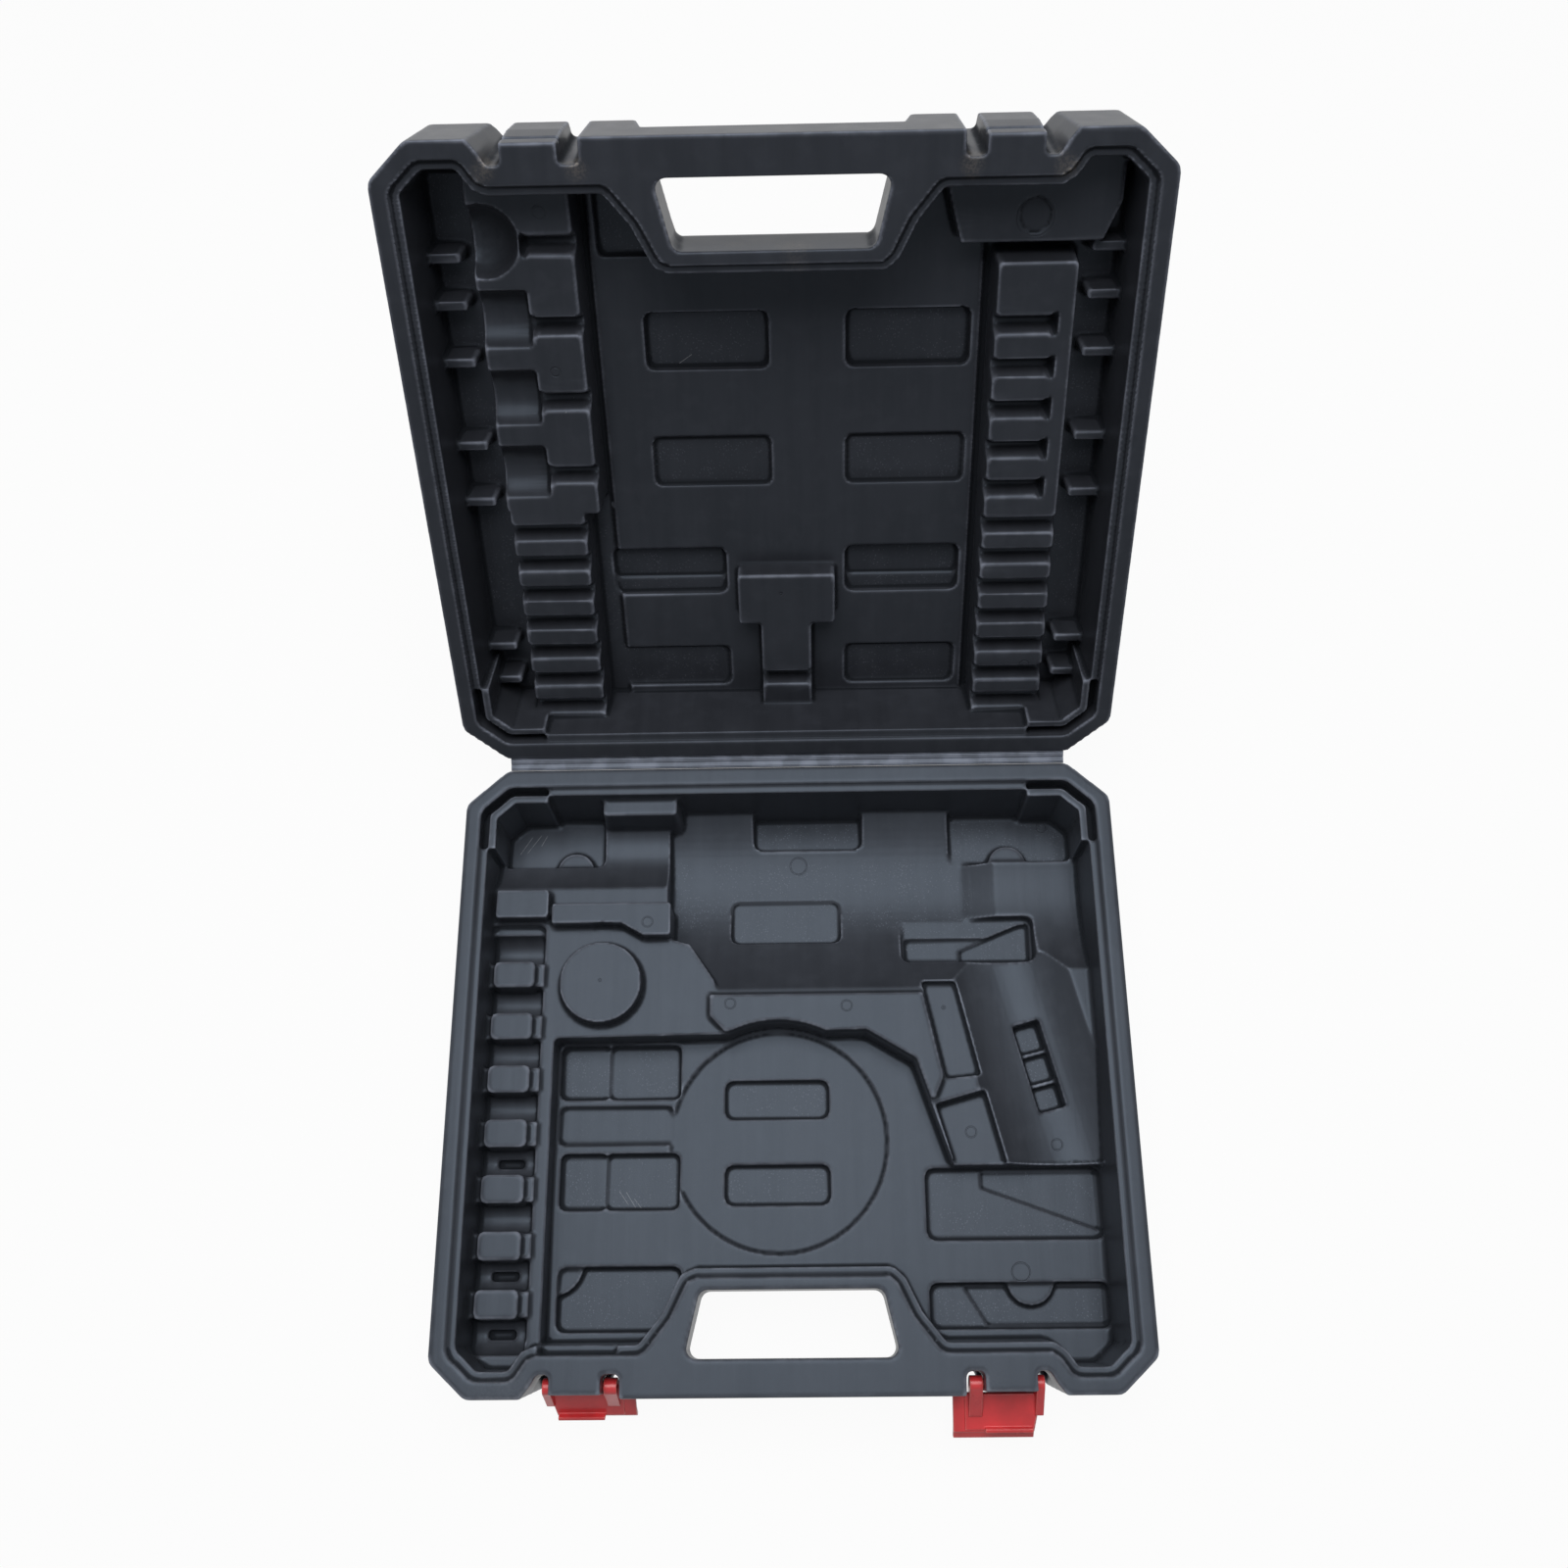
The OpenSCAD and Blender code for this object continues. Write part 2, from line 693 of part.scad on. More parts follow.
// Rows of blocks along both sides of the lid, and the clamp block that holds the tool down
module lid_blocks(shrink) {
    // The narrow ridges between slots and saddles are pressed solid
    comb_back = shrink > 0 ? comb_slot_depth : 0;
    saddle_back = shrink > 0 ? bowl_depth : 0;
    block(block_depth + saddle_back, shrink) sheet(left(40), 155, left(66), front(20), 2);
    block(block_depth, shrink) sheet(left(65), 153, left(91), front(20), 2);
    block(block_depth + comb_back, shrink) sheet(left(41), 16, left(82), 156, 2);
    block(block_depth + comb_back, shrink) sheet(right(79.3), 16, right(39.6), 285, 2);
    block(shelf_depth, shrink)
        polygon([
            [right(106), front(30)], [right(98), 293], [right(28), 293],
            [right(20), front(40)], [right(20), front(10)], [right(106), front(10)]
        ]);
    slab(clamp_depth, shrink)
        softened(2)
            union() {
                translate([-26.3, 76]) square([56, 31.5]);
                if (shrink == 0) translate([-13.5, 10]) square([29.4, 80]);
            }
    if (shrink == 0) {
        // Small shelves on both side walls
        for (y = [37, 60, 153, 186, 232, 262, 286])
            for (x = [left(9), right(32)])
                block(32, 0) sheet(x, y, x + 23, y + 5, 1.5);
    }
}

function comb_y(i) = 28 + i * comb_pitch;

module lid_saddles(grow) {
    // Gaps between the long blocks
    for (y = [176.2, 217.5, 257.5, 297.8])
        comb_slot(left(64), left(93), y, block_depth, comb_slot_w, grow);
    if (grow == 0) {
        // Combs with narrow slots between their blocks
        for (i = [0:6]) {
            comb_slot(left(39), left(84), comb_y(i), block_depth, comb_slot_w);
            comb_slot(right(81.3), right(37.6), comb_y(i), block_depth, comb_slot_w);
        }
        for (i = [0:4]) comb_slot(right(81.3), right(47.5), 164 + i * 22.4, block_depth, comb_slot_w);
        // Notch in the stem of the clamp block
        comb_slot(-16, 18, 39, clamp_depth, comb_slot_w);
        // Round saddles in the left row, and a bowl at its end
        for (i = [0:2])
            trough(left(36), left(65), 178.5 + i * 41.5, block_depth + saddle_depth, saddle_r, 0);
        translate([left(46), 300, bowl_r - block_depth - bowl_depth]) sphere(r = bowl_r, $fn = 28);
        translate([right(62), front(46), -shelf_depth - 1.2]) cylinder(h = 5, r = 9, $fn = 28);
    }
}

// Slot across a block from one of its sides to the other; it widens towards both ends and its
// sides lean in towards the bottom
module comb_slot(x0, x1, y, top, slot_w, grow = 0) {
    over = 3;
    half_mouth = slot_w / 2;
    half_end = half_mouth + slot_flare / 2;
    narrowed = comb_slot_floor / slot_w;
    translate([0, y, -top - comb_slot_depth - grow])
        linear_extrude(
            comb_slot_depth + grow + over, slices = 1,
            scale = [1, 1 + (1 / narrowed - 1) * (1 + over / comb_slot_depth)]
        )
            offset(delta = grow) scale([1, narrowed])
                polygon([
                    [x0, -half_end], [x0 + slot_flare, -half_mouth], [x1 - slot_flare, -half_mouth],
                    [x1, -half_end], [x1, half_end], [x1 - slot_flare, half_mouth],
                    [x0 + slot_flare, half_mouth], [x0, half_end]
                ]);
}

// ---------- Latches ----------
// The latch of the right side, drawn closed about its pivot: x runs to the case side, y (u) away
// from the tongue and z (v) along the plate
module latch() {
    panel_t = 1.2;
    panel_inner = tongue_w / 2 + notch_w - 0.7;
    edge_outer = plate_outer - plate_taper;
    translate([0, plate_u + latch_t, 0])
        rotate([90, 0, 0])
            linear_extrude(latch_t)
                polygon([
                    [-plate_inner, plate_v0], [plate_outer, plate_v0],
                    [edge_outer, latch_reach], [-plate_inner, latch_reach]
                ]);
    // Thicker panel behind the part of the plate that lies in front of the notches and the tongue
    translate([0, plate_u + eps, 0])
        rotate([90, 0, 0])
            linear_extrude(panel_t)
                polygon([
                    [-panel_inner, plate_v0], [plate_outer - 0.8, plate_v0],
                    [edge_outer - 0.4, latch_reach - 1.5], [-panel_inner, latch_reach - 1.5]
                ]);
    // Finger edge flared outwards
    translate([-plate_inner, 0, 0])
        rotate([90, 0, 90])
            linear_extrude(plate_inner + edge_outer)
                polygon([
                    [plate_u, latch_reach - 2], [plate_u + latch_t, latch_reach - 4],
                    [plate_u + latch_t + 3, latch_reach + 3], [plate_u + latch_t + 1, latch_reach + 4]
                ]);
    // Lip that bites into the groove of the lid tongue
    translate([-tongue_w / 2 + 1, plate_u - latch_gap - tongue_back - lip_bite, lip_v - lip_t / 2])
        cube([tongue_w - 2, latch_gap + tongue_back + lip_bite + 1, lip_t]);
    latch_arm(outer_arm_w);
    scale([-1, 1, 1]) latch_arm(inner_arm_w);
}

module latch_arm(arm_w) {
    arm_x = tongue_w / 2 + arm_play;
    hub_r = trunnion_r + 2;
    translate([arm_x, 0, 0])
        rotate([90, 0, 90])
            linear_extrude(arm_w) {
                circle(r = hub_r, $fn = 48);
                polygon([
                    [0, -hub_r], [plate_u * 0.68, -hub_r * 0.45], [plate_u + 1, 4],
                    [plate_u + 1, 18], [plate_u - 2.5, 18], [-hub_r * 0.8, hub_r * 0.6]
                ]);
            }
    translate([arm_x - trunnion_l, 0, 0])
        rotate([0, 90, 0]) cylinder(h = trunnion_l + 1, r = trunnion_r, $fn = 48);
}

// ---------- Placing ----------
module base_frame() {
    translate([0, hinge_y, half_h]) mirror([0, 1, 0]) children();
}

module lid_frame() {
    translate([0, hinge_y, half_h + rim_gap / 2])
        rotate([180 - lid_open, 0, 0])
            translate([0, 0, -rim_gap / 2]) children();
}

module placed_latch(side, swing) {
    base_frame()
        translate([side * latch_x, pivot_y, -pivot_depth])
            rotate([-swing, 0, 0]) scale([side, 1, 1]) latch();
}

module base_outer_shell() {
    color("#3f434c") base_frame() outer_shell(true);
}

module base_inner_tray() {
    color("#484d57") base_frame() tray(true);
}

module lid_outer_shell() {
    color("#33363d") lid_frame() outer_shell(false);
}

module lid_inner_tray() {
    color("#3a3d45") lid_frame() tray(false);
}

// Bent strip from the hinge edge of the base to the hinge edge of the lid
module hinge_web() {
    bend = 180 - lid_open;
    web_h = rim_gap / 2 + web_t / 2;
    // Where the straight runs from both halves would meet
    meet = hinge_gap + web_h * tan(bend / 2);
    radius = meet / tan(bend / 2);
    color("#3f434c")
        translate([0, hinge_y - hinge_gap, half_h + rim_gap / 2 - web_h + radius])
            rotate([0, 90, 0])
                translate([0, 0, -case_w / 2 + rear_cut_x + 2])
                    rotate_extrude(angle = bend, $fn = 96)
                        translate([radius - web_t / 2, 0])
                            square([web_t, case_w - 2 * rear_cut_x - 4]);
}

module latch_left() {
    color("#c8262b") placed_latch(-1, left_swing);
}

module latch_right() {
    color("#c8262b") placed_latch(1, right_swing);
}

base_outer_shell();
base_inner_tray();
lid_outer_shell();
lid_inner_tray();
hinge_web();
latch_left();
latch_right();
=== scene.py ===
"""Looks of the open hard tool case: moulded skins, living hinge, clip latches, floor and light."""
import json
import math
from collections import namedtuple

import bmesh
import bpy
from mathutils import Matrix, Vector


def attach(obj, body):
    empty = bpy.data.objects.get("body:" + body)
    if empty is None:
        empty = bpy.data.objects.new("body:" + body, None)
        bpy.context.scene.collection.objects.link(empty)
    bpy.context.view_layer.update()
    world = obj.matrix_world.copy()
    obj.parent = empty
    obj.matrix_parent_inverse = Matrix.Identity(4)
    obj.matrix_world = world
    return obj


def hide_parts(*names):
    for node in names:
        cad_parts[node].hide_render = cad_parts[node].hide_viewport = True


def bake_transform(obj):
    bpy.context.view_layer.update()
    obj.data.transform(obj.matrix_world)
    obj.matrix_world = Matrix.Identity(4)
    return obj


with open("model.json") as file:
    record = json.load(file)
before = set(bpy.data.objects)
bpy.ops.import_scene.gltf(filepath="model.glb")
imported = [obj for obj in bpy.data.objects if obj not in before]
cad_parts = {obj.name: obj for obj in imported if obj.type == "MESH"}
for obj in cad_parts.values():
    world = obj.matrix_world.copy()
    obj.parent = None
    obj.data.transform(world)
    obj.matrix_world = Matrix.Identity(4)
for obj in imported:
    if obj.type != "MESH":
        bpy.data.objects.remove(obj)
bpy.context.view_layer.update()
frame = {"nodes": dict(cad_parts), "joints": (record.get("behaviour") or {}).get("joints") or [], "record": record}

MM = 0.001

# ---------- Sizes of the case, in millimetres and degrees ----------
LID_OPEN = 123.1
RIM_GAP = 0.4
HINGE_GAP = 3.6
# Half the width of the hinge strip
HINGE_X = 164.5
WEB_T = 1.2
# Depth of the pads that are pressed down to the outer skin
TACK_FLOOR = 47.5

# ---------- Meshing ----------
SKIN_VOXEL = 0.95 * MM
SKIN_ROUNDS = 6
SKIN_TRIANGLES = 150000
LATCH_VOXEL = 0.34 * MM
LATCH_ROUNDS = 5
LATCH_TRIANGLES = 26000
WELD = 0.0005 * MM
SMOOTH_FACTOR = 0.5
NORMAL_WEIGHT = 60

joints = {joint["name"]: joint for joint in frame["joints"]}
HINGE = Vector(joints["lid_hinge"]["pos_m"])


class Half:
    """One half of the case: x runs across it, along from hinge to handle edge, depth into it."""

    def __init__(self, body, along, out):
        self.body = body
        self.along = Vector(along)
        self.out = Vector(out)
        self.origin = HINGE + self.out * (-RIM_GAP / 2) * MM

    def point(self, x, along, depth):
        across = Vector((x * MM, 0, 0))
        return self.origin + across + self.along * along * MM - self.out * depth * MM


lid_lean = math.radians(180 - LID_OPEN)
base_half = Half("base", along=(0, -1, 0), out=(0, 0, 1))
lid_half = Half("lid", along=(0, math.cos(lid_lean), math.sin(lid_lean)),
                out=(0, -math.sin(lid_lean), math.cos(lid_lean)))


# ---------- Shader building ----------
class Channel:
    """A shader socket that adds, multiplies and compares like a number."""

    def __init__(self, graph, socket):
        self.graph = graph
        self.socket = socket

    def math(self, operation, *values, clamp=False):
        settings = {"operation": operation, "use_clamp": clamp}
        made = self.graph.node("ShaderNodeMath", settings, dict(enumerate(values)))
        return Channel(self.graph, made.outputs[0])

    def __add__(self, other):
        return self.math("ADD", self, other)

    def __radd__(self, other):
        return self.math("ADD", other, self)

    def __sub__(self, other):
        return self.math("SUBTRACT", self, other)

    def __rsub__(self, other):
        return self.math("SUBTRACT", other, self)

    def __mul__(self, other):
        return self.math("MULTIPLY", self, other)

    def __rmul__(self, other):
        return self.math("MULTIPLY", other, self)

    def __abs__(self):
        return self.math("ABSOLUTE", self)

    def clamped(self):
        return self.math("ADD", self, 0.0, clamp=True)

    def above(self, low, high):
        """0 below low, 1 above high, smooth between them."""
        settings = {"interpolation_type": "SMOOTHSTEP"}
        inputs = {"Value": self, "From Min": low, "From Max": high}
        made = self.graph.node("ShaderNodeMapRange", settings, inputs)
        return Channel(self.graph, made.outputs["Result"])

    def below(self, low, high):
        return 1 - self.above(low, high)


class Graph:
    """A node tree that is filled from expressions."""

    def __init__(self, tree):
        self.tree = tree
        tree.nodes.clear()

    def node(self, kind, settings=None, inputs=None):
        made = self.tree.nodes.new(kind)
        for key, value in (settings or {}).items():
            setattr(made, key, value)
        for key, value in (inputs or {}).items():
            if isinstance(value, Channel):
                value = value.socket
            if isinstance(value, bpy.types.NodeSocket):
                self.tree.links.new(value, made.inputs[key])
            else:
                made.inputs[key].default_value = value
        return made

    def channel(self, socket):
        return Channel(self, socket)

    def vector(self, operation, first, second, output="Vector"):
        settings = {"operation": operation}
        return self.node("ShaderNodeVectorMath", settings, {0: first, 1: second}).outputs[output]

    def measured(self, operation, first, second):
        """The number that two vectors give, such as their distance."""
        return self.channel(self.vector(operation, first, second, "Value"))

    def seen_directly(self):
        """1 for rays that show a surface to the camera or in a gloss, 0 for rays that light."""
        path = self.node("ShaderNodeLightPath")
        camera_ray, glossy_ray, clear_ray = [
            self.channel(path.outputs[ray])
            for ray in ("Is Camera Ray", "Is Glossy Ray", "Is Transmission Ray")]
        return (camera_ray + glossy_ray + clear_ray).clamped()


class Finish(Graph):
    """A material and its node graph."""

    def __init__(self, name):
        self.material = bpy.data.materials.new(name)
        self.material.use_nodes = True
        super().__init__(self.material.node_tree)
        self.output = self.node("ShaderNodeOutputMaterial")
        self.place = self.node("ShaderNodeTexCoord").outputs["Object"]

    def noise(self, scale, detail, stretch=(1, 1, 1), roughness=0.5):
        place = self.vector("MULTIPLY", self.place, stretch)
        inputs = {"Vector": place, "Scale": scale, "Detail": detail, "Roughness": roughness}
        return self.channel(self.node("ShaderNodeTexNoise", None, inputs).outputs["Fac"])

    def cells(self, scale):
        inputs = {"Vector": self.place, "Scale": scale}
        made = self.node("ShaderNodeTexVoronoi", None, inputs)
        return self.channel(made.outputs["Distance"])

    def pointiness(self):
        return self.channel(self.node("ShaderNodeNewGeometry").outputs["Pointiness"])

    def mixed(self, share, first, second):
        settings = {"data_type": "RGBA", "blend_type": "MIX"}
        return self.node("ShaderNodeMix", settings, {0: share, 6: first, 7: second}).outputs[2]

    def near(self, centre, radius):
        """1 at a point of the object, falling to 0 at the given distance."""
        return self.measured("DISTANCE", self.place, centre).below(radius * 0.25, radius)

    def bump(self, height, distance, strength, under=None):
        inputs = {"Height": height, "Distance": distance, "Strength": strength}
        if under is not None:
            inputs["Normal"] = under
        return self.node("ShaderNodeBump", None, inputs).outputs["Normal"]

    def covered(self, shader):
        """The material, with the given shader as its surface."""
        self.tree.links.new(shader.outputs[0], self.output.inputs["Surface"])
        return self.material

    def shine(self, inputs):
        return self.covered(self.node("ShaderNodeBsdfPrincipled", None, inputs))


# ---------- Finish of the plastics ----------
# Pointiness of the meshes: creases painted dark as shade lie below the first pair, ridges painted pale as
# highlight with a little rubbing lie above the others
CREASE = (0.474, 0.497)
RIDGE = (0.506, 0.552)
LATCH_RIDGE = (0.51, 0.55)

# Tones, as multiples of a slot's colour
CREASE_SHADE_TONE = 0.1
DENT_TONE = 0.4
DARK_TONE = 0.48
LIGHT_TONE = 0.66
MOTTLE_TONE = 0.95
SPECKLE_TONE = 2.0
LATCH_DARK_TONE = 1.1
LATCH_LIGHT_TONE = 1.4

SCRATCH_COLOUR = (0.36, 0.37, 0.39, 1)
COOL_GLINT = (0.66, 0.81, 1.0, 1)
LATCH_HIGHLIGHT_COLOUR = (0.95, 0.3, 0.26, 1)

# Marks on one half, in its own plan and in millimetres
Marks = namedtuple("Marks", "rings rubs rub_colour scratches")
Ring = namedtuple("Ring", "x along radius")
Rub = namedtuple("Rub", "x along depth radius amount")
Scratch = namedtuple("Scratch", "x along angle length")


def tone(colour, factor):
    return tuple(min(1.0, part * factor) for part in colour) + (1.0,)


class Plan:
    """Where a shaded point lies on its half, and whether its surface lies flat there."""

    def __init__(self, finish, half):
        from_rim = finish.vector("SUBTRACT", finish.place, half.origin)
        self.across = finish.measured("DOT_PRODUCT", from_rim, (1, 0, 0))
        self.along = finish.measured("DOT_PRODUCT", from_rim, half.along)
        self.rise = finish.measured("DOT_PRODUCT", from_rim, half.out)
        places = {"X": self.across, "Y": self.along}
        self.spot = finish.node("ShaderNodeCombineXYZ", None, places).outputs[0]
        facing = finish.node("ShaderNodeTexCoord").outputs["Normal"]
        self.flat = finish.measured("DOT_PRODUCT", facing, half.out).above(0.8, 0.95)


def ring_dents(finish, plan, rings):
    """1 along the thin round marks of the mould's pins."""
    dents = []
    for ring in rings:
        reach = finish.measured("DISTANCE", plan.spot, (ring.x * MM, ring.along * MM, 0))
        dents.append(abs(reach - ring.radius * MM).below(0.2 * MM, 0.55 * MM))
    return (sum(dents) * plan.flat).clamped()


def rubbed_spots(finish, half, rubs):
    """How much each place on a half is worn pale."""
    return sum(finish.near(half.point(rub.x, rub.along, rub.depth), rub.radius * MM) * rub.amount
               for rub in rubs)


def scratch_lines(plan, scratches):
    """1 along short straight scratches, fading at their ends."""
    lines = []
    for scratch in scratches:
        run_x, run_along = math.cos(scratch.angle), math.sin(scratch.angle)
        dx = plan.across - scratch.x * MM
        dy = plan.along - scratch.along * MM
        ahead = abs(dx * run_x + dy * run_along)
        aside = abs(dy * run_x - dx * run_along)
        ends = ahead.below(scratch.length * 0.42 * MM, scratch.length * 0.5 * MM)
        lines.append(aside.below(0.05 * MM, 0.28 * MM) * ends)
    return sum(lines)


def moulded_plastic(name, colour, sheen, highlight_gain, half, marks):
    """Dark blow-moulded plastic: fine grain, flow streaks, ridges painted pale as highlight with a little rubbing,
    creases painted dark as shade, mould marks, scratches.
    """
    finish = Finish(name)
    plan = Plan(finish, half)

    clouds = finish.noise(scale=14, detail=3)
    mottle = finish.noise(scale=85, detail=3)
    streaks = finish.noise(scale=9, detail=3, stretch=(14, 1, 1))
    grain = finish.noise(scale=1500, detail=2)
    fine = finish.noise(scale=700, detail=4, roughness=0.65)
    pads = plan.rise.below(-(TACK_FLOOR + 0.6) * MM, -(TACK_FLOOR - 0.6) * MM) * plan.flat

    shade = (clouds * 0.55 + streaks * 0.45).above(0.3, 0.7)
    body = finish.mixed(shade, tone(colour, DARK_TONE), tone(colour, LIGHT_TONE))
    blotches = (mottle.above(0.45, 0.75) * 0.25).clamped()
    body = finish.mixed(blotches, body, tone(colour, MOTTLE_TONE))
    speckle = finish.cells(scale=620).below(0.16, 0.3) * mottle.above(0.35, 0.6) * pads * 0.5
    body = finish.mixed(speckle, body, tone(colour, SPECKLE_TONE))

    edge = finish.pointiness()
    # Creases darkened nearly to black: painted shade
    crease_shade = edge.below(*CREASE)
    body = finish.mixed(crease_shade * 0.85, body, tone(colour, CREASE_SHADE_TONE))
    ridge = edge.above(*RIDGE)
    # Ridges lightened to several times the colour: painted highlight, with a little rubbing
    rub_and_highlight = ridge * (0.55 + mottle.above(0.4, 0.65) * 0.45)
    body = finish.mixed(rub_and_highlight * 0.7, body, tone(colour, highlight_gain))

    dents = ring_dents(finish, plan, marks.rings)
    body = finish.mixed(dents * 0.35, body, tone(colour, DENT_TONE))

    wear = rubbed_spots(finish, half, marks.rubs)
    wear = (wear * (0.35 + fine.above(0.42, 0.58)) * (0.12 + ridge)).clamped()
    body = finish.mixed(wear, body, marks.rub_colour)

    lines = scratch_lines(plan, marks.scratches)
    lines = (lines * fine.above(0.3, 0.5) * plan.flat * 0.5).clamped()
    body = finish.mixed(lines, body, SCRATCH_COLOUR)

    normal = finish.bump(streaks * 0.5 + clouds * 0.5, distance=1.2 * MM, strength=0.25)
    normal = finish.bump(1 - dents, distance=0.35 * MM, strength=0.6, under=normal)
    normal = finish.bump(grain * (0.4 + pads * 0.9), distance=0.12 * MM, strength=0.35,
                         under=normal)
    roughness = 0.27 + mottle * 0.1 + clouds * 0.06 + wear * 0.25 + crease_shade * 0.5
    return finish.shine({"Base Color": body, "Roughness": roughness, "Normal": normal,
                         "Specular IOR Level": sheen, "Specular Tint": COOL_GLINT})


def latch_plastic(name, colour):
    """Red injection-moulded plastic with a soft gloss and edges painted pale as highlight, with a little rubbing.
    """
    finish = Finish(name)
    clouds = finish.noise(scale=60, detail=3)
    rub_and_highlight = finish.pointiness().above(*LATCH_RIDGE)
    body = finish.mixed(clouds.above(0.3, 0.7), tone(colour, LATCH_DARK_TONE),
                        tone(colour, LATCH_LIGHT_TONE))
    # Pale edges: painted highlight, with a little rubbing
    body = finish.mixed(rub_and_highlight * 0.5, body, LATCH_HIGHLIGHT_COLOUR)
    normal = finish.bump(finish.noise(scale=900, detail=2), distance=0.05 * MM, strength=0.2)
    return finish.shine({"Base Color": body, "Roughness": 0.24 + clouds * 0.1,
                         "Normal": normal, "IOR": 1.49})


# ---------- Meshes ----------
def object_of(data, name):
    made = bpy.data.objects.new(name, data)
    bpy.context.scene.collection.objects.link(made)
    return made


def mesh_of(work, name):
    mesh = bpy.data.meshes.new(name)
    work.to_mesh(mesh)
    work.free()
    return mesh


def tray_step(work, half, outline, top, foot):
    """A low step of the given outline that stands on a land of the tray."""
    low = [work.verts.new(half.point(x, along, foot)) for x, along in outline]
    high = [work.verts.new(half.point(x, along, top)) for x, along in outline]
    work.faces.new(low)
    work.faces.new(high[::-1])
    for i in range(len(outline)):
        work.faces.new((low[i - 1], high[i - 1], high[i], low[i]))


def joined_nodes(nodes, name, half, steps):
    """The CAD solids of one moulding, copied into one mesh, with the low steps on its lands."""
    work = bmesh.new()
    for node in nodes:
        work.from_mesh(frame["nodes"][node].data)
    bmesh.ops.remove_doubles(work, verts=work.verts, dist=WELD)
    for outline, top, foot in steps:
        tray_step(work, half, outline, top, foot)
    bmesh.ops.recalc_face_normals(work, faces=work.faces)
    return object_of(mesh_of(work, name), name)


def apply_modifier(piece, kind, **settings):
    modifier = piece.modifiers.new(kind.lower(), kind)
    for key, value in settings.items():
        setattr(modifier, key, value)
    bpy.ops.object.select_all(action="DESELECT")
    bpy.context.view_layer.objects.active = piece
    piece.select_set(True)
    bpy.ops.object.modifier_apply(modifier=modifier.name)


def outer_skin(piece):
    """The outermost closed surface of a double wall; the hidden ones inside it are dropped."""
    name = piece.name
    bpy.ops.object.mode_set(mode="EDIT")
    bpy.ops.mesh.select_all(action="SELECT")
    bpy.ops.mesh.separate(type="LOOSE")
    bpy.ops.object.mode_set(mode="OBJECT")
    shells = sorted(bpy.context.selected_objects, key=lambda shell: shell.dimensions.x)
    for inner in shells[:-1]:
        bpy.data.objects.remove(inner)
    shells[-1].name = name
    return shells[-1]


def soft_edged(nodes, name, voxel, rounds, triangles, half=None, steps=()):
    """One continuous skin with the small radii that a mould leaves on every edge."""
    piece = joined_nodes(nodes, name, half, steps)
    apply_modifier(piece, "REMESH", mode="VOXEL", voxel_size=voxel)
    piece = outer_skin(piece)
    apply_modifier(piece, "SMOOTH", factor=SMOOTH_FACTOR, iterations=rounds)
    # The voxel mesh is all quads, of two triangles each
    share = triangles / (2.0 * len(piece.data.polygons))
    if share < 1:
        apply_modifier(piece, "DECIMATE", ratio=share)
    for polygon in piece.data.polygons:
        polygon.use_smooth = True
    normals = piece.modifiers.new("normals", "WEIGHTED_NORMAL")
    normals.weight = NORMAL_WEIGHT
    return piece


class HingeArc:
    """The arc that the living hinge is bent to between the rims of the two halves."""

    def __init__(self):
        self.bend = math.radians(180 - LID_OPEN)
        web_h = RIM_GAP / 2 + WEB_T / 2
        # Where the straight runs from both halves would meet
        meet = HINGE_GAP + web_h * math.tan(self.bend / 2)
        self.radius = meet / math.tan(self.bend / 2)
        self.centre = Vector((0, HINGE.y / MM - HINGE_GAP, HINGE.z / MM - web_h + self.radius))

    def point(self, share, outward=0.0):
        """A point in millimetres, at a share of the way from the base to the lid."""
        angle = self.bend * share
        out = Vector((0, math.sin(angle), -math.cos(angle)))
        return self.centre + out * (self.radius + outward)


# Grooves across the hinge strip: places and width as shares of the arc, depth as one of its wall
FOLD_PLACES = (0.09, 0.5, 0.91)
FOLD_WIDTH = 0.045
FOLD_DEPTH = 0.42
STRIP_ROWS = 40
STRIP_SHARP = 50


def hinge_strip(name, arc):
    """Thin strip from the base's hinge edge to the lid's, with three fold grooves on its inside."""
    work = bmesh.new()
    rows = []
    for i in range(STRIP_ROWS + 1):
        share = i / STRIP_ROWS
        groove = sum(math.exp(-((share - place) / FOLD_WIDTH) ** 2) for place in FOLD_PLACES)
        thick = WEB_T * (1 - FOLD_DEPTH * groove)
        top = arc.point(share, WEB_T / 2 - thick)
        low = arc.point(share, WEB_T / 2)
        rows.append([work.verts.new(Vector((x, p.y, p.z)) * MM)
                     for p in (top, low) for x in (-HINGE_X, HINGE_X)])
    for a, b in zip(rows, rows[1:]):
        work.faces.new((a[0], a[1], b[1], b[0]))
        work.faces.new((a[3], a[2], b[2], b[3]))
        work.faces.new((a[2], a[0], b[0], b[2]))
        work.faces.new((a[1], a[3], b[3], b[1]))
    first, last = rows[0], rows[-1]
    work.faces.new((first[1], first[0], first[2], first[3]))
    work.faces.new((last[0], last[1], last[3], last[2]))
    bmesh.ops.recalc_face_normals(work, faces=work.faces)
    mesh = mesh_of(work, name)
    for polygon in mesh.polygons:
        polygon.use_smooth = True
    mesh.set_sharp_from_angle(angle=math.radians(STRIP_SHARP))
    return object_of(mesh, name)


# ---------- Camera: solved from the rim corners of both halves ----------
CAMERA_AT = Vector((11.67, -151.14, 886.59)) * MM
CAMERA_TURN = (159.294, -1.098, 0.474)
IMAGE_SIZE = 1600
FOCAL_PIXELS = 1527.325
SENSOR = 36.0

camera = bpy.data.cameras.new("camera")
camera.sensor_width = SENSOR
camera.lens = FOCAL_PIXELS / IMAGE_SIZE * SENSOR
camera.clip_start = 0.01
camera.clip_end = 50
camera_object = object_of(camera, "camera")
